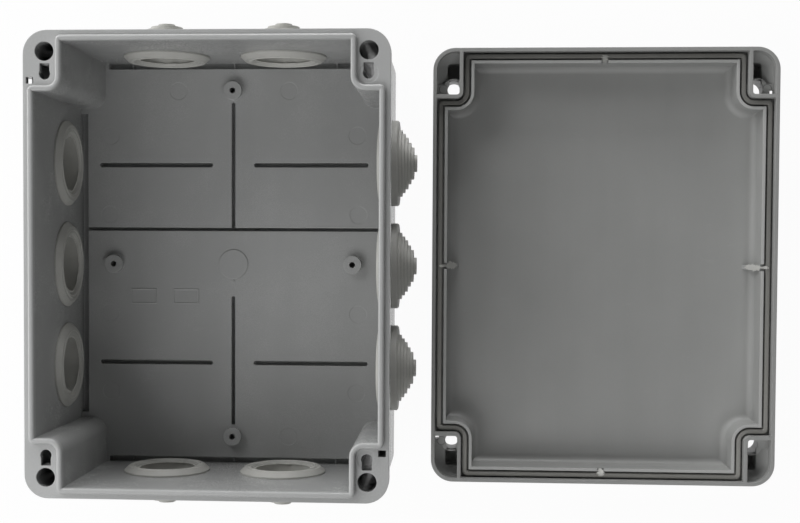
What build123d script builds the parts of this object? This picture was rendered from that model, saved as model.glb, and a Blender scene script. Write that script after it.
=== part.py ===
from build123d import *
import os

# A surface-mounted cable junction box of moulded plastic, lying open on its back.
# The lid lies beside it with its inner side up, as a page turned over from the box: half a turn
# about a line midway between the two pieces closes it.
# Origin: middle of the box's back. +X to the right, +Y to the top end, +Z out of the wall.

# Whole box
box_width = 200.0
box_length = 255.0
closed_depth = 120.0
lid_height = 25.0
corner_radius = 13.0
lid_gap = 21.0

# Base shell
wall_setback = 2.1
flange_depth = 9.0
flange_lip_radius = 1.5
rim_ledge = 2.9
tongue_width = 3.2
tongue_height = 3.0
tongue_round = 1.3
foot_edge_radius = 1.0

# Step of the sealed space round each corner boss, from the outer edges of the box
step_from_side = 21.5
step_from_end = 33.2
step_radius = 7.7

# Floor, with hollow ribs that stand the back off the wall
floor_top = 7.5
floor_thickness = 3.0
rib_wall = 1.7
side_groove_width = 4.5
side_groove_length = 182.0
end_groove_width = 3.5
end_groove_length = 153.0
groove_web = 0.9
web_sink = 3.0
web_pitch = 62.5
cross_groove_width = 2.0
cross_groove_y = 21.1
spine_groove_width = 2.3
spine_groove_end = 98.0
spine_groove_start = -19.5
panel_groove_width = 2.6
panel_groove_y = 60.0
panel_groove_start = 12.6
panel_groove_end = 82.0

# Device posts and small marks of the mould on the floor
post_diameter = 11.0
post_height = 4.5
post_bore = 3.5
post_pitch_x = 145.4
post_pitch_y = 209.4
boss_diameter = 9.0
gate_disc_diameter = 17.8
gate_disc_height = 0.5
gate_nub_diameter = 2.0
gate_nub_y = -10.4
ejector_diameter = 10.5
ejector_depth = 0.15
ejector_pitches = ((152.0, 60.0), (150.5, 155.5), (67.5, 209.4))
frame_width = 15.7
frame_length = 9.2
frame_line = 0.7
frame_height = 0.3
frame_places = ((-55.0, -19.7), (-29.0, -19.7))

# Corner columns, open at the back, with a screw channel and a bayonet keyhole each
corner_plate = 3.0
column_wall = 3.0
channel_from_side = 11.8
channel_from_end = 11.5
channel_bore = 10.4
channel_wall = 2.0
channel_seat = 3.0
wall_screw_bore = 5.5
keyhole_from_side = 12.0
keyhole_from_end = 23.7
base_keyhole_diameter = 6.2
base_keyhole_tab = 5.4
keyhole_tab_reach = 5.7
witness_ring_diameter = 10.4
witness_ring_depth = 0.25

# Strap slot down through the flange and out of its side, at two opposite corners
slot_width = 4.1
slot_length = 3.5
slot_from_side = 3.75
slot_from_end = 27.2
slot_pad = 2.4
slot_mouth_height = 4.7

# Stepped cable entries
entry_bore = 38.0
entry_height = 36.0
entry_pitch_side = 59.3
entry_pitch_end = 68.6
neck_clearance = 0.2
inner_flange_diameter = 49.7
inner_flange_thickness = 3.5
inner_flange_edge = 1.0
inner_flange_bevel = 2.8
mouth_diameter = 34.0
mouth_bevel = 1.2
outer_flange_diameter = 49.3
outer_flange_bevel = 0.7
outer_flange_thickness = 4.1
step_diameters = (38.5, 34.3, 29.9, 24.0, 18.6, 9.8)
step_rise = 1.7
step_wall = 1.5

# Lid
lid_edge_radius = 9.0
lid_wall = 2.2
lid_floor = 3.0
tray_edge_radius = 4.0
groove_gap_outside = 0.7
groove_gap_inside = 0.8
groove_floor = 17.5
inner_wall = 1.8
inner_wall_drop = 3.2
pocket_wall = 2.2
seat_plate_top = 18.5
seat_plate_edge_from_end = 20.6
recess_rim = 14.0
recess_floor = 3.0
recess_from_side = 8.3
recess_from_end = 7.8
recess_corner_radius = 2.0
cup_diameter = 13.0
cup_bore = 11.0
lid_keyhole_diameter = 7.4
lid_keyhole_tab = 5.6
keyhole_passage = 3.0
lid_slit_width = 2.2
lid_slit_length = 2.8
lid_slit_from_side = 3.5
lid_slit_from_end = 25.6
lid_slit_side_play = 1.0
lid_slit_plate = 3.0
pocket_mark_diameter = 5.0
pocket_mark_from_side = 6.0
pocket_mark_from_end = 23.4
wall_gap = 4.0
wall_gap_depth = 3.0
gate_ramp_reach = 7.0
gate_ramp_width = 2.6

# Gasket
gasket_width = 2.8
gasket_height = 3.8
gasket_round = 0.9

# Worked out from the sizes above
flange_top = closed_depth - lid_height
seal_inset = rim_ledge + tongue_width
cavity_width = box_width - 2 * seal_inset
cavity_length = box_length - 2 * seal_inset
foot_width = box_width - 2 * wall_setback
foot_length = box_length - 2 * wall_setback
foot_radius = corner_radius - wall_setback
side_wall_thickness = foot_width / 2 - cavity_width / 2
floor_under = floor_top - floor_thickness
groove_bottom = rib_wall
tongue_top = flange_top + tongue_height
groove_outside = tongue_width + groove_gap_outside
lid_x = box_width + lid_gap
inner_wall_top = lid_height - inner_wall_drop
lid_base = Plane((lid_x, 0, 0))

channel_pitch_x = box_width - 2 * channel_from_side
channel_pitch_y = box_length - 2 * channel_from_end
keyhole_x = box_width / 2 - keyhole_from_side
keyhole_y = box_length / 2 - keyhole_from_end
slot_x = box_width / 2 - slot_from_side
slot_y = box_length / 2 - slot_from_end
slot_mouth_x = box_width / 2 - slot_from_side / 2
flange_bottom = flange_top - flange_depth
corners = ((-1, 1), (1, 1), (-1, -1), (1, -1))


def seal_outline(grow=0.0, corner=Kind.ARC):
    """The sealed space's outline, stepped round the four corner bosses, offset outwards by grow."""
    with BuildSketch() as outline:
        Rectangle(cavity_width, cavity_length)
        with GridLocations(box_width, box_length, 2, 2):
            Rectangle(2 * step_from_side, 2 * step_from_end, mode=Mode.SUBTRACT)
        fillet(outline.vertices().group_by(SortBy.DISTANCE)[0], step_radius)
        if grow:
            offset(amount=grow, kind=corner)
    return outline.sketch


def corner_areas(inset, radius, seal_grow, corner=Kind.ARC):
    """The four areas between the box's outline, inset, and the sealed space, grown."""
    with BuildSketch() as areas:
        RectangleRounded(box_width - 2 * inset, box_length - 2 * inset, radius)
        add(seal_outline(seal_grow, corner), mode=Mode.SUBTRACT)
    return areas.sketch


def keyhole(diameter, tab_width, x_side, y_side):
    """A bayonet keyhole at one corner: a circle with a tab towards the end of the box."""
    with BuildSketch() as shape:
        with Locations((x_side * keyhole_x, y_side * keyhole_y)):
            Circle(diameter / 2)
        with Locations((x_side * keyhole_x, y_side * (keyhole_y + keyhole_tab_reach / 2))):
            Rectangle(tab_width, keyhole_tab_reach)
    return shape.sketch


def floor_grooves(grow=0.0):
    """The grooves of the floor, each widened by grow on either side."""
    with BuildSketch() as grooves:
        for side in (-1, 1):
            with Locations((side * (cavity_width - side_groove_width) / 2, 0)):
                Rectangle(side_groove_width + 2 * grow, side_groove_length + 2 * grow)
            with Locations((0, side * (cavity_length - end_groove_width) / 2)):
                Rectangle(end_groove_length + 2 * grow, end_groove_width + 2 * grow)
            for row in (-1, 1):
                panel_length = panel_groove_end - panel_groove_start
                panel_x = side * (panel_groove_end + panel_groove_start) / 2
                with Locations((panel_x, row * panel_groove_y)):
                    SlotOverall(panel_length + 2 * grow, panel_groove_width + 2 * grow)
        with Locations((0, cross_groove_y)):
            Rectangle(cavity_width - side_groove_width, cross_groove_width + 2 * grow)
        for start, end in ((cross_groove_y, spine_groove_end), (-spine_groove_end, spine_groove_start)):
            with Locations((0, (start + end) / 2)):
                SlotOverall(end - start + 2 * grow, spine_groove_width + 2 * grow, rotation=90)
    return grooves.sketch


# Base: walls, flange and tongue
with BuildPart() as enclosure_base:
    with BuildSketch():
        RectangleRounded(foot_width, foot_length, foot_radius)
    extrude(amount=flange_top)
    fillet(enclosure_base.faces().sort_by(Axis.Z)[0].edges(), foot_edge_radius)
    with BuildSketch(Plane.XY.offset(flange_bottom)):
        RectangleRounded(box_width, box_length, corner_radius)
    extrude(amount=flange_depth)
    lip_faces = enclosure_base.faces().filter_by(Axis.Z).group_by(Axis.Z)[1]
    lip_edges = lip_faces.sort_by(SortBy.AREA)[-1].outer_wire().edges()
    fillet(lip_edges, flange_lip_radius)
    with BuildSketch(Plane.XY.offset(flange_top)):
        add(seal_outline(tongue_width))
    extrude(amount=tongue_height)

    # Sealed space
    with BuildSketch(Plane.XY.offset(floor_top)):
        add(seal_outline())
    extrude(amount=tongue_top - floor_top, mode=Mode.SUBTRACT)
    fillet(enclosure_base.faces().sort_by(Axis.Z)[-1].edges(), tongue_round)

    # Back: the floor's ribs and the foot of the walls reach the wall behind, the rest stands off
    with BuildSketch():
        add(seal_outline(-rib_wall))
        add(floor_grooves(rib_wall), mode=Mode.SUBTRACT)
        with GridLocations(post_pitch_x, 0, 2, 1):
            Circle(boss_diameter / 2, mode=Mode.SUBTRACT)
        with GridLocations(0, post_pitch_y, 1, 2):
            Circle(boss_diameter / 2, mode=Mode.SUBTRACT)
    extrude(amount=floor_under, mode=Mode.SUBTRACT)

    # Front: grooves sunk into the ribs, with thin low webs across the end ones
    with BuildSketch(Plane.XY.offset(groove_bottom)):
        add(floor_grooves())
        for end in (-1, 1):
            for column in (-1, 0, 1):
                with Locations((column * web_pitch, end * (cavity_length - end_groove_width) / 2)):
                    Rectangle(groove_web, end_groove_width, mode=Mode.SUBTRACT)
    extrude(amount=floor_top - groove_bottom, mode=Mode.SUBTRACT)
    with BuildSketch(Plane.XY.offset(floor_top - web_sink)):
        with GridLocations(0, cavity_length - end_groove_width, 1, 2):
            Rectangle(end_groove_length, end_groove_width)
    extrude(amount=web_sink, mode=Mode.SUBTRACT)

    # Device posts
    with BuildSketch(Plane.XY.offset(floor_top)):
        with GridLocations(post_pitch_x, 0, 2, 1):
            Circle(post_diameter / 2)
        with GridLocations(0, post_pitch_y, 1, 2):
            Circle(post_diameter / 2)
    extrude(amount=post_height)
    with BuildSketch(Plane.XY.offset(groove_bottom)):
        with GridLocations(post_pitch_x, 0, 2, 1):
            Circle(post_bore / 2)
        with GridLocations(0, post_pitch_y, 1, 2):
            Circle(post_bore / 2)
    extrude(amount=floor_top + post_height - groove_bottom, mode=Mode.SUBTRACT)

    # Marks of the mould
    with BuildSketch(Plane.XY.offset(floor_top)):
        Circle(gate_disc_diameter / 2)
    extrude(amount=gate_disc_height)
    with BuildSketch(Plane.XY.offset(floor_top)):
        with Locations((0, gate_nub_y)):
            Circle(gate_nub_diameter / 2)
        for place in frame_places:
            with Locations(place):
                Rectangle(frame_width, frame_length)
                Rectangle(frame_width - 2 * frame_line, frame_length - 2 * frame_line, mode=Mode.SUBTRACT)
    extrude(amount=frame_height)
    with BuildSketch(Plane.XY.offset(floor_top - ejector_depth)):
        for pitch_x, pitch_y in ejector_pitches:
            with GridLocations(pitch_x, pitch_y, 2, 2):
                Circle(ejector_diameter / 2)
    extrude(amount=ejector_depth, mode=Mode.SUBTRACT)

    # Corner columns, hollow from the back up to the flange's plate
    with BuildSketch():
        add(corner_areas(wall_setback + column_wall, foot_radius - column_wall, tongue_width))
    extrude(amount=flange_top - corner_plate, mode=Mode.SUBTRACT)
    with BuildSketch():
        with GridLocations(channel_pitch_x, channel_pitch_y, 2, 2):
            Circle(channel_bore / 2 + channel_wall)
        add(corner_areas(wall_setback, foot_radius, 0), mode=Mode.INTERSECT)
    extrude(amount=flange_top)
    with BuildSketch(Plane.XY.offset(channel_seat)):
        with GridLocations(channel_pitch_x, channel_pitch_y, 2, 2):
            Circle(channel_bore / 2)
    extrude(amount=flange_top - channel_seat, mode=Mode.SUBTRACT)
    with BuildSketch():
        with GridLocations(channel_pitch_x, channel_pitch_y, 2, 2):
            Circle(wall_screw_bore / 2)
    extrude(amount=channel_seat, mode=Mode.SUBTRACT)
    with BuildSketch(Plane.XY.offset(flange_top - corner_plate)):
        for x_side, y_side in corners:
            add(keyhole(base_keyhole_diameter, base_keyhole_tab, x_side, y_side))
    extrude(amount=corner_plate, mode=Mode.SUBTRACT)
    with BuildSketch(Plane.XY.offset(flange_top - witness_ring_depth)):
        with Locations((keyhole_x, keyhole_y), (keyhole_x, -keyhole_y)):
            Circle(witness_ring_diameter / 2)
    extrude(amount=witness_ring_depth, mode=Mode.SUBTRACT)

    # Strap slots, each with a floor of its own and a mouth in the side of the flange
    with BuildSketch(Plane.XY.offset(flange_bottom - slot_pad)):
        with Locations((-slot_x, slot_y), (slot_x, -slot_y)):
            Rectangle(slot_width + 2 * slot_pad, slot_length + 2 * slot_pad)
        add(corner_areas(wall_setback, foot_radius, 0), mode=Mode.INTERSECT)
    extrude(amount=flange_depth + slot_pad)
    with BuildSketch(Plane.XY.offset(flange_bottom)):
        with Locations((-slot_x, slot_y), (slot_x, -slot_y)):
            Rectangle(slot_width, slot_length)
    extrude(amount=flange_depth, mode=Mode.SUBTRACT)
    with BuildSketch(Plane.XY.offset(flange_bottom)):
        with Locations((-slot_mouth_x, slot_y), (slot_mouth_x, -slot_y)):
            Rectangle(slot_from_side, slot_length)
    extrude(amount=slot_mouth_height, mode=Mode.SUBTRACT)

    # Holes for the cable entries
    for row in (-1, 0, 1):
        with Locations(Plane((0, row * entry_pitch_side, entry_height), z_dir=(1, 0, 0))):
            Cylinder(entry_bore / 2, box_width, mode=Mode.SUBTRACT)
    for column in (-0.5, 0.5):
        with Locations(Plane((column * entry_pitch_end, 0, entry_height), z_dir=(0, 1, 0))):
            Cylinder(entry_bore / 2, box_length, mode=Mode.SUBTRACT)


def entry_profile():
    """Half section of a cable entry as (radius, distance outwards from the wall's inner face)."""
    inner_radius = inner_flange_diameter / 2
    outer_radius = outer_flange_diameter / 2
    neck_radius = entry_bore / 2 - neck_clearance
    mouth_radius = mouth_diameter / 2
    flange_face = side_wall_thickness + outer_flange_thickness
    outside = [
        (mouth_radius + mouth_bevel, -inner_flange_thickness),
        (inner_radius - inner_flange_bevel, -inner_flange_thickness),
        (inner_radius, -inner_flange_edge),
        (inner_radius, 0),
        (neck_radius, 0),
        (neck_radius, side_wall_thickness),
        (outer_radius, side_wall_thickness),
        (outer_radius, flange_face - outer_flange_bevel),
        (outer_radius - outer_flange_bevel, flange_face),
    ]
    inside = [
        (mouth_radius + mouth_bevel, -inner_flange_thickness),
        (mouth_radius, mouth_bevel - inner_flange_thickness),
    ]
    level = flange_face
    for diameter in step_diameters:
        outside += [(diameter / 2, level), (diameter / 2, level + step_rise)]
        hollow = min(diameter / 2 - step_wall, mouth_radius)
        if hollow < inside[-1][0]:
            inside.append((hollow, inside[-1][1]))
        inside.append((hollow, level + step_rise - step_wall))
        level += step_rise
    outside.append((0, level))
    inside.append((0, level - step_wall))
    return outside + inside[:0:-1]


def cable_entry(name, place, outward):
    """A push-in rubber entry: two flanges grip the wall, and a hollow stepped cone stands outside."""
    section = Plane(place, x_dir=(0, 0, 1), z_dir=Vector(0, 0, 1).cross(Vector(*outward)))
    with BuildPart() as entry:
        with BuildSketch(section):
            with BuildLine():
                Polyline(*entry_profile(), close=True)
            make_face()
        revolve(axis=Axis(place, outward))
    entry.part.label = name
    return entry.part


rows = (("upper", 1), ("middle", 0), ("lower", -1))
entries = []
for side_name, side in (("left", -1), ("right", 1)):
    for row_name, row in rows:
        place = (side * cavity_width / 2, row * entry_pitch_side, entry_height)
        entries.append(cable_entry(f"grommet_{side_name}_{row_name}", place, (side, 0, 0)))
for end_name, end in (("top", 1), ("bottom", -1)):
    for column_name, column in (("left", -0.5), ("right", 0.5)):
        place = (column * entry_pitch_end, end * cavity_length / 2, entry_height)
        entries.append(cable_entry(f"grommet_{end_name}_{column_name}", place, (0, end, 0)))


def pocket_floor(x_side, y_side, from_side, from_end, radius):
    """A rectangle in a lid pocket, from the pocket's wall and the seat plate to the given insets."""
    near_x = box_width / 2 - step_from_side + groove_outside + pocket_wall
    near_y = box_length / 2 - seat_plate_edge_from_end
    far_x = box_width / 2 - from_side
    far_y = box_length / 2 - from_end
    with BuildSketch() as shape:
        with Locations((x_side * (near_x + far_x) / 2, y_side * (near_y + far_y) / 2)):
            Rectangle(far_x - near_x, far_y - near_y)
        fillet(shape.vertices().sort_by(SortBy.DISTANCE)[-1], radius)
    return shape.sketch


# Lid, lying on its outer face with its inner side up
with BuildPart() as lid:
    with BuildSketch(lid_base):
        RectangleRounded(box_width, box_length, corner_radius)
    extrude(amount=lid_height)
    fillet(lid.faces().sort_by(Axis.Z)[0].edges(), lid_edge_radius)

    # Tray inside the inner wall
    with BuildSketch(lid_base.offset(lid_floor)):
        add(seal_outline(-groove_gap_inside - inner_wall))
    extrude(amount=lid_height - lid_floor, mode=Mode.SUBTRACT)
    tray_floor = lid.faces().filter_by(Axis.Z).group_by(Axis.Z)[1].sort_by(SortBy.AREA)[-1]
    fillet(tray_floor.edges(), tray_edge_radius)

    # Groove for the gasket and the base's tongue, with the inner wall a little below the rim
    with BuildSketch(lid_base.offset(inner_wall_top)):
        add(seal_outline(groove_outside, Kind.INTERSECTION))
    extrude(amount=inner_wall_drop, mode=Mode.SUBTRACT)
    with BuildSketch(lid_base.offset(groove_floor)):
        add(seal_outline(groove_outside, Kind.INTERSECTION))
        add(seal_outline(-groove_gap_inside), mode=Mode.SUBTRACT)
    extrude(amount=inner_wall_top - groove_floor, mode=Mode.SUBTRACT)

    # Corner pockets down to the seat plates, then a slope and a deep recess beyond each plate
    pocket_outline = corner_areas(
        lid_wall, corner_radius - lid_wall, groove_outside + pocket_wall, Kind.INTERSECTION
    )
    with BuildSketch(lid_base.offset(seat_plate_top)):
        add(pocket_outline)
    extrude(amount=lid_height - seat_plate_top, mode=Mode.SUBTRACT)
    for x_side, y_side in corners:
        recess = pocket_floor(x_side, y_side, recess_from_side, recess_from_end, recess_corner_radius)
        with BuildSketch(lid_base.offset(seat_plate_top)):
            add(pocket_floor(x_side, y_side, lid_wall, lid_wall, corner_radius - lid_wall))
        with BuildSketch(lid_base.offset(recess_rim)):
            add(recess)
        loft(ruled=True, mode=Mode.SUBTRACT)
        with BuildSketch(lid_base.offset(recess_floor)):
            add(recess)
        extrude(amount=recess_rim - recess_floor, mode=Mode.SUBTRACT)

    # Screw cups with bayonet keyholes
    with BuildSketch(lid_base.offset(recess_floor)):
        with GridLocations(2 * keyhole_x, 2 * keyhole_y, 2, 2):
            Circle(cup_diameter / 2)
    extrude(amount=seat_plate_top - recess_floor)
    with BuildSketch(lid_base):
        with GridLocations(2 * keyhole_x, 2 * keyhole_y, 2, 2):
            Circle(cup_bore / 2)
    extrude(amount=seat_plate_top - keyhole_passage, mode=Mode.SUBTRACT)
    with BuildSketch(lid_base.offset(seat_plate_top - keyhole_passage)):
        for x_side, y_side in corners:
            add(keyhole(lid_keyhole_diameter, lid_keyhole_tab, x_side, y_side))
    extrude(amount=keyhole_passage, mode=Mode.SUBTRACT)

    # Strap slits, each open to the side of the lid below its plate
    slit_x = box_width / 2 - lid_slit_from_side
    slit_y = box_length / 2 - lid_slit_from_end
    slit_reach = lid_slit_from_side + lid_slit_width / 2
    slit_mouth_x = box_width / 2 - slit_reach / 2
    with BuildSketch(lid_base):
        with Locations((slit_x, slit_y), (-slit_x, -slit_y)):
            Rectangle(lid_slit_width, lid_slit_length)
    extrude(amount=seat_plate_top, mode=Mode.SUBTRACT)
    with BuildSketch(lid_base):
        with Locations((slit_mouth_x, slit_y), (-slit_mouth_x, -slit_y)):
            Rectangle(slit_reach, lid_slit_length + 2 * lid_slit_side_play)
    extrude(amount=seat_plate_top - lid_slit_plate, mode=Mode.SUBTRACT)

    # Moulding marks in the pockets
    with BuildSketch(lid_base.offset(seat_plate_top - ejector_depth)):
        mark_x = box_width / 2 - pocket_mark_from_side
        mark_y = box_length / 2 - pocket_mark_from_end
        with GridLocations(2 * mark_x, 2 * mark_y, 2, 2):
            Circle(pocket_mark_diameter / 2)
    extrude(amount=ejector_depth, mode=Mode.SUBTRACT)

    # Gaps at the middle of each stretch of the inner wall
    wall_x = cavity_width / 2 - groove_gap_inside - inner_wall / 2
    wall_y = cavity_length / 2 - groove_gap_inside - inner_wall / 2
    with BuildSketch(lid_base.offset(inner_wall_top - wall_gap_depth)):
        with GridLocations(0, 2 * wall_y, 1, 2):
            Rectangle(wall_gap, inner_wall)
        with GridLocations(2 * wall_x, 0, 2, 1):
            Rectangle(inner_wall, wall_gap)
    extrude(amount=wall_gap_depth, mode=Mode.SUBTRACT)

    # Ramps left by the gates, inside the side gaps
    ramp_top = inner_wall_top - wall_gap_depth
    for side in (-1, 1):
        ramp_x = side * (wall_x - inner_wall / 2)
        with BuildSketch(Plane((lid_x, gate_ramp_width / 2, 0), x_dir=(1, 0, 0), z_dir=(0, -1, 0))):
            with BuildLine():
                Polyline(
                    (ramp_x, ramp_top),
                    (ramp_x - side * gate_ramp_reach, lid_floor),
                    (ramp_x, lid_floor),
                    close=True,
                )
            make_face()
        extrude(amount=gate_ramp_width)

# Gasket in the lid's groove, under the base's tongue
with BuildPart() as lid_gasket:
    gasket_inset = (tongue_width - gasket_width) / 2
    with BuildSketch(lid_base.offset(groove_floor)):
        add(seal_outline(gasket_inset + gasket_width))
        add(seal_outline(gasket_inset), mode=Mode.SUBTRACT)
    extrude(amount=gasket_height)
    fillet(lid_gasket.faces().sort_by(Axis.Z)[-1].edges(), gasket_round)

enclosure_base.part.label = "enclosure_base"
lid.part.label = "lid"
lid_gasket.part.label = "lid_gasket"

os.makedirs("parts", exist_ok=True)
for piece in [enclosure_base.part, lid.part, lid_gasket.part] + entries:
    export_step(piece, f"parts/{piece.label}.step")
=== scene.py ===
# An open cable junction box on a white table: moulded plastic base and lid, rubber cable entries, soft seal.
import random
from math import cos, pi, radians, sin

import bmesh
import bpy
from mathutils import Matrix, Vector


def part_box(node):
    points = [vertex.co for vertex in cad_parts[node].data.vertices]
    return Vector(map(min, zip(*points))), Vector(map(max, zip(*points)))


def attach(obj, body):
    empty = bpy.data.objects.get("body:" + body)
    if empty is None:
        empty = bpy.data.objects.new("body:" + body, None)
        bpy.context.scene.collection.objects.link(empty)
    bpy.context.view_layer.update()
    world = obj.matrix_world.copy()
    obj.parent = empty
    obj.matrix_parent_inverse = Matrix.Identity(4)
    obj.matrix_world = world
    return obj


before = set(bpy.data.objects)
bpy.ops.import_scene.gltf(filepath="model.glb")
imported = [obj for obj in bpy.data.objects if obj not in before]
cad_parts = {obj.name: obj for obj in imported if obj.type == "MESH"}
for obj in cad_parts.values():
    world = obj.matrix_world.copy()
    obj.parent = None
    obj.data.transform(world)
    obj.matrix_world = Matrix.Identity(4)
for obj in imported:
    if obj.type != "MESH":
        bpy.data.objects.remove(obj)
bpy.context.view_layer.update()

# Photograph's frame, in pixels, and the camera that was fitted to it
PHOTO_WIDTH = 800
PHOTO_HEIGHT = 523
CAMERA_PLACE = (0.13759, 0.01151, 0.79126)
CAMERA_TURN = (radians(-1.970), radians(3.450), radians(0.291))
FOCAL_PIXELS = 1301.45
AXIS_PIXEL = (381.98, 291.18)
SENSOR_WIDTH = 36.0
NEAREST_SEEN = 0.01
FURTHEST_SEEN = 50.0

# Plain, even light from all round, and the soft lamps: name, azimuth and elevation in degrees, distance and size
# in metres, power in watts. Azimuth 0 is the right of the picture, and 90 its top.
WORLD_LEVEL = 0.024
LAMPS = (
    ("left", 180.0, 20.0, 1.3, 0.6, 4.7),
    ("top_left", 135.0, 24.0, 1.3, 0.8, 7.2),
    ("top", 90.0, 12.0, 1.3, 0.6, 8.8),
    ("bottom", 270.0, 40.0, 1.3, 0.8, 2.6),
    ("bottom_left", 225.0, 46.0, 1.3, 0.8, 4.6),
    ("high_right", 323.0, 60.0, 1.5, 0.4, 1.2),
)

# White table, in metres. The camera sees this share of its plain white, and the rest keeps the shadow.
TABLE_SIZE = 8.0
TABLE_TOP = -0.0002
TABLE_SEEN = 0.96
TABLE_PALE = 0.9

# Torn edge and fine ridge round the mouth of each entry, in metres and in shares of the edge's width
MOUTH_RADIUS = 0.017
MOUTH_DEPTH = 0.0013
FLASH_WIDTH = 0.0011
FLASH_LEAST = 0.15
FLASH_WANDER = 0.35
FLASH_THICKNESS = 0.0004
FLASH_POINTS = 96
RIDGE_RADIUS = 0.0200
RIDGE_HALF_WIDTH = 0.00045
RIDGE_HEIGHT = 0.0004

# Spills of the seal through the gaps of the lid's inner wall, one down each ramp and one in each end gap. Stops
# are (distance inwards from the seal's middle, height, half width), in metres.
SEAL_HALF_WIDTH = 0.0955
SEAL_HALF_LENGTH = 0.123
SPILL_ROWS = 26
SPILL_COLUMNS = 6
SPILL_THICKNESS = 0.0003
SPILL_RAGGED = (0.45, 1.3)
SPILL_LUMPS = 0.5
SIDE_SPILL = (
    (-0.0004, 0.02140, 0.0005),
    (0.0010, 0.02142, 0.0010),
    (0.0026, 0.01960, 0.0008),
    (0.0042, 0.01920, 0.0012),
    (0.0056, 0.01610, 0.0022),
    (0.0074, 0.01200, 0.0021),
    (0.0090, 0.00850, 0.0013),
    (0.0102, 0.00575, 0.0003),
)
END_SPILL = (
    (-0.0006, 0.02140, 0.0012),
    (0.0004, 0.02150, 0.0022),
    (0.0016, 0.02130, 0.0023),
    (0.0026, 0.02020, 0.0016),
    (0.0038, 0.01930, 0.0009),
)

# Crowns of the mouldings, painted paler as painted light: lowest and highest level in metres, and how strongly they
# show
BASE_CROWN = (0.0944, 0.0990, 0.45)
LID_CROWN = (0.0216, 0.0220, 0.95)
CROWN_FADE = 0.0002

# Ejector marks in three of the lid's pockets, in metres from the lid's middle, and how strongly they show
MARK_X = 0.094
MARK_Y = 0.1041
MARK_RADIUS = 0.0025
MARK_LINE = 0.00022
MARK_SHARE = 0.6
MARK_CORNERS = ((-1, 1), (1, 1), (-1, -1))

# Eased edges, in metres
PLASTIC_EDGE = 0.0006
RUBBER_EDGE = 0.0004

# Painted shade in deep holes of the plastic and in seams of the rubber: how far it looks round, how closed in a
# place has to be, and how strongly it shows. In the plastic it sets in between two heights.
HOLE_REACH = 0.014
HOLE_START = 0.6
HOLE_SHARE = 0.9
HOLE_HEIGHTS = (0.015, 0.04)
SEAM_REACH = 0.0025
SEAM_START = 0.35
SEAM_SHARE = 0.8

# Paler tone on the seal towards the lower left: share at the lid's middle, and its fall per metre upwards and to the
# right in the picture
PALING_MIDDLE = 0.35
PALING_FALL_UP = 4.5
PALING_FALL_RIGHT = 2.0

# Colours, linear
BASE_GREY = (0.437, 0.442, 0.440)
LID_GREY = (0.398, 0.402, 0.394)
ENTRY_GREY = (0.56, 0.558, 0.53)
SEAL_GREY = (0.20, 0.198, 0.186)
SPILL_GREY = (0.44, 0.44, 0.42)
WHITE = (1.0, 1.0, 1.0)

# Tones of each finish, as shares of its own grey
PLASTIC_TONES = {"dark": 0.88, "pale": 1.12, "wear_and_highlight": 1.45, "marked": 0.3, "lit_crown": 1.4, "crevice_shade": 0.1}
RUBBER_TONES = {"dark": 0.88, "pale": 1.12, "paled": 1.3, "crevice_shade": 0.16}
SEAL_TONES = {"dark": 0.75, "pale": 1.3, "paled": 1.85}
FLASH_TONE = 1.2

# Roughness of each finish, and how much the plastic's slow waves outweigh its grain
BASE_ROUGHNESS = 0.26
LID_ROUGHNESS = 0.42
RUBBER_ROUGHNESS = 0.50
SEAL_ROUGHNESS = 0.75
WAVE_SHARE = 9.0

lid_middle = (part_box("lid")[0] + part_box("lid")[1]) / 2
chance = random.Random(7)


class Term:
    """A node's output. Arithmetic on it adds Math nodes, so shader maths reads as plain expressions."""

    def __init__(self, recipe, socket):
        self.recipe = recipe
        self.socket = socket

    def math(self, operation, *values):
        return self.recipe.node("ShaderNodeMath", {"operation": operation}, dict(enumerate(values)))

    def __add__(self, other):
        return self.math("ADD", self, other)

    __radd__ = __add__

    def __mul__(self, other):
        return self.math("MULTIPLY", self, other)

    __rmul__ = __mul__

    def __sub__(self, other):
        return self.math("SUBTRACT", self, other)

    def __rsub__(self, other):
        return self.math("SUBTRACT", other, self)

    def __abs__(self):
        return self.math("ABSOLUTE", self)

    def at_least(self, low):
        return self.math("MAXIMUM", self, low)

    def at_most(self, high):
        return self.math("MINIMUM", self, high)

    def swing(self, share):
        """Swings about 0 by a share, where the noise itself goes from 0 to 1."""
        return share * (self - 0.5)

    def rising(self, low, high):
        """0 below low, 1 above high, and smooth between them."""
        return self.recipe.node(
            "ShaderNodeMapRange",
            {"interpolation_type": "SMOOTHSTEP"},
            {"Value": self, "From Min": low, "From Max": high},
        )


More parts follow.
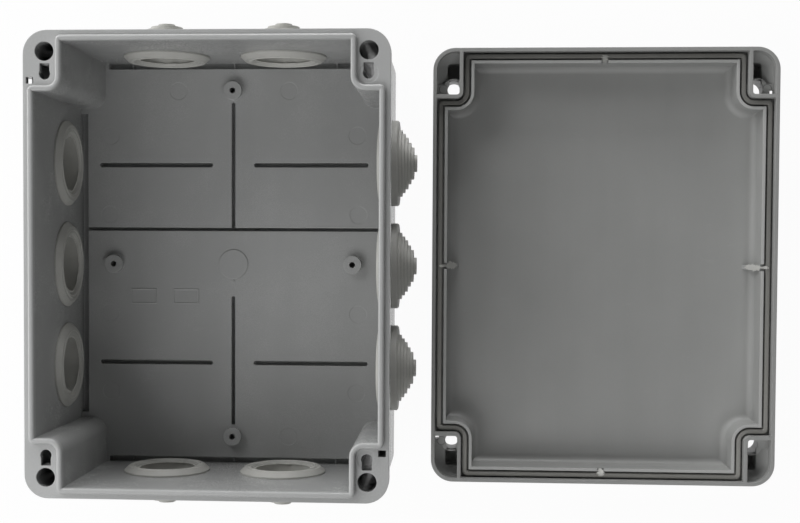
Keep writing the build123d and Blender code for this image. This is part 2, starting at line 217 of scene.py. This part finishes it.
class Recipe:
    """The nodes of a material or of the world, in the making."""

    def __init__(self, owner):
        owner.use_nodes = True
        self.owner = owner
        self.tree = owner.node_tree
        self.tree.nodes.clear()

    def node(self, kind, settings=None, inputs=None, output=0):
        """Adds a node, sets it, feeds its inputs with numbers or terms, and returns one of its outputs."""
        made = self.tree.nodes.new(kind)
        for name, value in (settings or {}).items():
            setattr(made, name, value)
        for name, value in (inputs or {}).items():
            if isinstance(value, Term):
                self.tree.links.new(value.socket, made.inputs[name])
            else:
                made.inputs[name].default_value = value
        return Term(self, made.outputs[output]) if made.outputs else None

    def place(self, stretch=(1.0, 1.0, 1.0)):
        """Object coordinates in metres, stretched along the axes."""
        point = self.node("ShaderNodeTexCoord", output="Object")
        return self.node("ShaderNodeMapping", {"vector_type": "POINT"}, {"Vector": point, "Scale": stretch})

    def along(self, axis):
        """Object coordinate along X, Y or Z, in metres."""
        return self.node("ShaderNodeSeparateXYZ", {}, {"Vector": self.place()}, axis)

    def noise(self, scale, detail=2.0, roughness=0.5, stretch=(1.0, 1.0, 1.0)):
        """Cloudy noise from 0 to 1 whose blotches are about 1 / scale metres across."""
        inputs = {"Vector": self.place(stretch), "Scale": scale, "Detail": detail, "Roughness": roughness}
        return self.node("ShaderNodeTexNoise", {}, inputs)

    def blend(self, factor, first, second):
        """Goes from the first colour to the second."""
        inputs = {0: factor, 6: first, 7: second}
        return self.node("ShaderNodeMix", {"data_type": "RGBA"}, inputs, output=2)

    def edge(self, radius):
        """Normal with the edges eased by radius, and a mask that is 1 on the edges."""
        eased = self.node("ShaderNodeBevel", {"samples": 6}, {"Radius": radius})
        flat = self.node("ShaderNodeNewGeometry", output="Normal")
        likeness = self.node("ShaderNodeVectorMath", {"operation": "DOT_PRODUCT"}, {0: eased, 1: flat}, "Value")
        return eased, (1.0 - likeness).rising(0.02, 0.22)

    def crevices(self, reach, start):
        """Mask that is 1 deep in a crevice and 0 on open surface."""
        openness = self.node("ShaderNodeAmbientOcclusion", {"samples": 4}, {"Distance": reach}, output="AO")
        return (1.0 - openness).rising(start, 0.95)

    def rings(self, centres, radius, line):
        """Mask that is 1 on thin circles round upright axes through the centres."""
        point = self.node("ShaderNodeTexCoord", output="Object")
        flat = self.node("ShaderNodeVectorMath", {"operation": "MULTIPLY"}, {0: point, 1: (1.0, 1.0, 0.0)})
        mask = 0.0
        for centre in centres:
            inputs = {0: flat, 1: (*centre, 0.0)}
            reach = self.node("ShaderNodeVectorMath", {"operation": "DISTANCE"}, inputs, "Value")
            mask = mask + (1.0 - abs(reach - radius).rising(0.5 * line, 1.5 * line))
        return mask

    def finish(self, **sockets):
        """Closes the recipe with one Principled shader."""
        inputs = {name.replace("_", " "): value for name, value in sockets.items()}
        shader = self.node("ShaderNodeBsdfPrincipled", {}, inputs)
        self.node("ShaderNodeOutputMaterial", {}, {"Surface": shader})
        return self.owner


def colour(values, share=1.0):
    """A colour with full alpha, scaled by a share."""
    return (*(value * share for value in values), 1.0)


def moulded_plastic(name, grey, roughness, crown, marks=()):
    """Satin injection-moulded plastic: fine spark grain, flow streaks, blotches, edges paler from wear and from a
    painted highlight, a crown painted paler as painted light, and painted shade deep in holes.
    """
    recipe = Recipe(bpy.data.materials.new(name))
    grain = recipe.noise(1900.0, detail=3.0, roughness=0.6)
    blotches = recipe.noise(26.0, detail=3.0)
    streaks = recipe.noise(70.0, detail=2.0, stretch=(1.0, 0.09, 0.4))
    rubs = recipe.noise(210.0, detail=4.0, roughness=0.65, stretch=(0.35, 1.0, 1.0)).rising(0.62, 0.78)
    waves = recipe.noise(14.0, detail=1.0)
    eased, edges = recipe.edge(PLASTIC_EDGE)
    tone = 0.5 + blotches.swing(0.55) + streaks.swing(0.35) + grain.swing(0.45)
    tints = {kind: colour(grey, share) for kind, share in PLASTIC_TONES.items()}
    body = recipe.blend(tone, tints["dark"], tints["pale"])
    # Paler edges, from wear and from a painted highlight; the rubs are wear.
    wear_and_highlight = recipe.blend(0.35 * edges + 0.10 * rubs, body, tints["wear_and_highlight"])
    if marks:
        wear_and_highlight = recipe.blend(MARK_SHARE * recipe.rings(marks, MARK_RADIUS, MARK_LINE), wear_and_highlight, tints["marked"])
    height = recipe.along("Z")
    low, high, share = crown
    band = height.rising(low - CROWN_FADE, low) * (1.0 - height.rising(high, high + CROWN_FADE))
    # Painted light: the crown band is painted paler.
    lit_crown = recipe.blend(share * band, wear_and_highlight, tints["lit_crown"])
    # Painted shade deep in the holes, above the floor.
    deep = recipe.crevices(HOLE_REACH, HOLE_START) * height.rising(*HOLE_HEIGHTS)
    crevice_shade = recipe.blend(HOLE_SHARE * deep, lit_crown, tints["crevice_shade"])
    relief = recipe.node(
        "ShaderNodeBump",
        {},
        {"Strength": 0.35, "Distance": 0.00012, "Height": grain + WAVE_SHARE * waves, "Normal": eased},
    )
    return recipe.finish(
        Base_Color=crevice_shade,
        Roughness=roughness + blotches.swing(0.10) + grain.swing(0.12) - 0.06 * rubs,
        Normal=relief,
    )


def entry_rubber(name, grey):
    """Soft moulded rubber: mottled, with a little dust, a dull sheen, a painted highlight on its edges and painted
    shade in its seams.
    """
    recipe = Recipe(bpy.data.materials.new(name))
    mottle = recipe.noise(140.0, detail=4.0, roughness=0.6)
    grain = recipe.noise(2600.0, detail=2.0)
    dust = recipe.noise(45.0, detail=3.0).rising(0.45, 0.75)
    eased, edges = recipe.edge(RUBBER_EDGE)
    tone = 0.5 + mottle.swing(0.6) + grain.swing(0.3)
    tints = {kind: colour(grey, share) for kind, share in RUBBER_TONES.items()}
    body = recipe.blend(tone, tints["dark"], tints["pale"])
    # Paler with dust, and with a painted highlight on the edges.
    paled = recipe.blend(0.22 * dust + 0.2 * edges, body, tints["paled"])
    # Painted shade in the seams.
    crevice_shade = recipe.blend(SEAM_SHARE * recipe.crevices(SEAM_REACH, SEAM_START), paled, tints["crevice_shade"])
    relief = recipe.node(
        "ShaderNodeBump", {}, {"Strength": 0.3, "Distance": 0.0001, "Height": grain + mottle, "Normal": eased}
    )
    return recipe.finish(Base_Color=crevice_shade, Roughness=RUBBER_ROUGHNESS + mottle.swing(0.14), Normal=relief)


def seal_rubber(name, grey):
    """Foamed dark seal with fine pores, paler towards the lower left."""
    recipe = Recipe(bpy.data.materials.new(name))
    pores = recipe.noise(1500.0, detail=3.0, roughness=0.7)
    stretches = recipe.noise(60.0, detail=2.0)
    tone = 0.5 + pores.swing(0.8) + stretches.swing(0.5)
    tints = {kind: colour(grey, share) for kind, share in SEAL_TONES.items()}
    body = recipe.blend(tone, tints["dark"], tints["pale"])
    # Paler towards the lower left of the picture.
    paling = PALING_MIDDLE - PALING_FALL_UP * recipe.along("Y") - PALING_FALL_RIGHT * (recipe.along("X") - lid_middle.x)
    paled = recipe.blend(paling.at_least(0.0).at_most(1.0), body, tints["paled"])
    relief = recipe.node("ShaderNodeBump", {}, {"Strength": 0.4, "Distance": 0.0002, "Height": pores})
    return recipe.finish(Base_Color=paled, Roughness=SEAL_ROUGHNESS + pores.swing(0.15), Normal=relief)


def table_white(name):
    """White table: seen and mirrored as white, with part of the shadows kept."""
    recipe = Recipe(bpy.data.materials.new(name))
    path = {kind: recipe.node("ShaderNodeLightPath", output=f"Is {kind} Ray") for kind in ("Camera", "Glossy")}
    shaded = recipe.node("ShaderNodeBsdfDiffuse", {}, {"Color": colour(WHITE, TABLE_PALE)})
    plain = recipe.node("ShaderNodeEmission", {}, {"Color": colour(WHITE), "Strength": 1.0})
    share = (TABLE_SEEN * path["Camera"] + path["Glossy"]).at_most(1.0)
    shader = recipe.node("ShaderNodeMixShader", {}, {0: share, 1: shaded, 2: plain})
    recipe.node("ShaderNodeOutputMaterial", {}, {"Surface": shader})
    return recipe.owner


def dress(node, material):
    """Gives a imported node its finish."""
    node.data.materials.clear()
    node.data.materials.append(material)


def dress_all():
    """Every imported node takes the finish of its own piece."""
    base_plastic = moulded_plastic("base_plastic", BASE_GREY, BASE_ROUGHNESS, BASE_CROWN)
    marks = [(lid_middle.x + x_side * MARK_X, y_side * MARK_Y) for x_side, y_side in MARK_CORNERS]
    lid_plastic = moulded_plastic("lid_plastic", LID_GREY, LID_ROUGHNESS, LID_CROWN, marks)
    rubber = entry_rubber("entry_rubber", ENTRY_GREY)
    seal = seal_rubber("seal_rubber", SEAL_GREY)
    finishes = {"enclosure_base": base_plastic, "lid": lid_plastic, "lid_gasket": seal}
    for name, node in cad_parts.items():
        dress(node, finishes.get(name, rubber))


def add_piece(name, shape, material, body):
    """Makes a shape a piece of its own, with its one material, which rides on a body."""
    mesh = bpy.data.meshes.new(name)
    shape.to_mesh(mesh)
    shape.free()
    mesh.materials.append(material)
    piece = bpy.data.objects.new(name, mesh)
    bpy.context.scene.collection.objects.link(piece)
    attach(piece, body)


def thicken(shape, thickness):
    """Gives a flat shape its thickness and turns its faces outwards."""
    bmesh.ops.recalc_face_normals(shape, faces=shape.faces)
    bmesh.ops.solidify(shape, geom=shape.faces[:], thickness=thickness)
    bmesh.ops.recalc_face_normals(shape, faces=shape.faces)


def mouth_place(name):
    """Takes a shape drawn flat round the origin to the middle of an entry's inner face, its top to the inside."""
    low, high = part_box(name)
    face = (low + high) / 2
    axis = 0 if name.split("_")[1] in ("left", "right") else 1
    inward = Vector((0.0, 0.0, 0.0))
    inward[axis] = -1.0 if face[axis] > 0 else 1.0
    face[axis] = low[axis] if face[axis] > 0 else high[axis]
    return Matrix.Translation(face) @ inward.to_track_quat("Z", "Y").to_matrix().to_4x4()


def mouth_flash(name, material):
    """Thin torn edge that the mould left round an entry's mouth, and a fine ridge round it."""
    shape = bmesh.new()
    bmesh.ops.create_circle(shape, segments=FLASH_POINTS, radius=MOUTH_RADIUS)
    made = bmesh.ops.extrude_edge_only(shape, edges=shape.edges[:])["geom"]
    width = FLASH_WIDTH
    for point in (item for item in made if isinstance(item, bmesh.types.BMVert)):
        width += FLASH_WANDER * (FLASH_WIDTH - width) + chance.uniform(-FLASH_WANDER, FLASH_WANDER) * FLASH_WIDTH
        point.co *= 1.0 - max(width, FLASH_LEAST * FLASH_WIDTH) / MOUTH_RADIUS
    thicken(shape, FLASH_THICKNESS)
    bmesh.ops.translate(shape, vec=(0.0, 0.0, -MOUTH_DEPTH), verts=shape.verts)
    profile = ((-RIDGE_HALF_WIDTH, -RIDGE_HEIGHT), (0.0, RIDGE_HEIGHT), (RIDGE_HALF_WIDTH, -RIDGE_HEIGHT))
    points = [shape.verts.new((RIDGE_RADIUS + outwards, 0.0, height)) for outwards, height in profile]
    lines = [shape.edges.new((points[i], points[i - 1])) for i in range(3)]
    bmesh.ops.spin(
        shape, geom=points + lines, cent=(0, 0, 0), axis=(0, 0, 1), angle=2 * pi, steps=FLASH_POINTS, use_merge=True
    )
    bmesh.ops.recalc_face_normals(shape, faces=shape.faces)
    bmesh.ops.transform(shape, matrix=mouth_place(name), verts=shape.verts)
    add_piece(name.replace("grommet", "mouth_flash"), shape, material, "base")


def between(stops, share):
    """Place at a share of the way along evenly spaced stops."""
    reach = share * (len(stops) - 1)
    step = min(int(reach), len(stops) - 2)
    return stops[step].lerp(stops[step + 1], reach - step)


def seal_spill(name, outward, reach, stops, material):
    """Ragged spill of the seal. A grid's rows follow the stops inwards, and its two sides are torn unevenly."""
    shape = bmesh.new()
    bmesh.ops.create_grid(shape, x_segments=SPILL_ROWS, y_segments=SPILL_COLUMNS, size=0.5)
    across = outward.cross(Vector((0, 0, 1)))
    sides = [[chance.uniform(*SPILL_RAGGED) for _ in range(SPILL_ROWS + 1)] for _ in range(2)]
    for point in shape.verts:
        share, side = point.co.x + 0.5, 2 * point.co.y
        inwards, height, half_width = between(stops, share)
        ragged = half_width * sides[side > 0][round(share * SPILL_ROWS)]
        spot = outward * (reach - inwards) + across * side * ragged
        lump = SPILL_THICKNESS * chance.uniform(0.0, SPILL_LUMPS)
        point.co = (lid_middle.x + spot.x, spot.y, height + lump)
    thicken(shape, SPILL_THICKNESS)
    add_piece(name, shape, material, "lid")


def add_small_pieces():
    """The torn edges of the entries and the spills of the seal."""
    flash = entry_rubber("flash_rubber", colour(ENTRY_GREY, FLASH_TONE)[:3])
    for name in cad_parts:
        if name.startswith("grommet"):
            mouth_flash(name, flash)
    spill = seal_rubber("spill_rubber", SPILL_GREY)
    gaps = {
        "left": (Vector((-1, 0, 0)), SEAL_HALF_WIDTH, SIDE_SPILL),
        "right": (Vector((1, 0, 0)), SEAL_HALF_WIDTH, SIDE_SPILL),
        "top": (Vector((0, 1, 0)), SEAL_HALF_LENGTH, END_SPILL),
        "bottom": (Vector((0, -1, 0)), SEAL_HALF_LENGTH, END_SPILL),
    }
    for side, (outward, reach, stops) in gaps.items():
        seal_spill(f"seal_spill_{side}", outward, reach, [Vector(stop) for stop in stops], spill)


def lay_table():
    """The white surface that the box lies on."""
    bpy.ops.mesh.primitive_plane_add(size=TABLE_SIZE, location=(lid_middle.x / 2, 0.0, TABLE_TOP))
    table = bpy.context.object
    table.name = "table"
    table.data.materials.append(table_white("table_white"))


def softbox(name, azimuth, elevation, distance, size, power):
    """A square lamp that looks at the middle of the pieces."""
    data = bpy.data.lights.new(name, "AREA")
    data.shape = "SQUARE"
    data.size = size
    data.energy = power
    lamp = bpy.data.objects.new(name, data)
    bpy.context.scene.collection.objects.link(lamp)
    turn, lift = radians(azimuth), radians(elevation)
    way = Vector((cos(turn) * cos(lift), sin(turn) * cos(lift), sin(lift)))
    lamp.location = Vector((lid_middle.x / 2, 0.0, 0.0)) + way * distance
    lamp.rotation_euler = way.to_track_quat("Z", "Y").to_euler()


def light_world():
    """Even light from all round, seen as white."""
    recipe = Recipe(bpy.data.worlds.new("studio"))
    seen = recipe.node("ShaderNodeLightPath", output="Is Camera Ray")
    strength = recipe.node("ShaderNodeMapRange", {}, {"Value": seen, "To Min": WORLD_LEVEL, "To Max": 1.0})
    back = recipe.node("ShaderNodeBackground", {}, {"Color": colour(WHITE), "Strength": strength})
    recipe.node("ShaderNodeOutputWorld", {}, {"Surface": back})
    bpy.context.scene.world = recipe.owner


def set_camera():
    """The photograph's camera."""
    data = bpy.data.cameras.new("camera")
    data.sensor_width = SENSOR_WIDTH
    data.lens = SENSOR_WIDTH * FOCAL_PIXELS / PHOTO_WIDTH
    data.shift_x = (PHOTO_WIDTH / 2 - AXIS_PIXEL[0]) / PHOTO_WIDTH
    data.shift_y = (AXIS_PIXEL[1] - PHOTO_HEIGHT / 2) / PHOTO_WIDTH
    data.clip_start = NEAREST_SEEN
    data.clip_end = FURTHEST_SEEN
    camera = bpy.data.objects.new("camera", data)
    bpy.context.scene.collection.objects.link(camera)
    camera.location = CAMERA_PLACE
    camera.rotation_euler = CAMERA_TURN
    bpy.context.scene.camera = camera


dress_all()
add_small_pieces()
lay_table()
for lamp_values in LAMPS:
    softbox(*lamp_values)
light_world()
set_camera()
bpy.context.scene.view_settings.view_transform = "Standard"
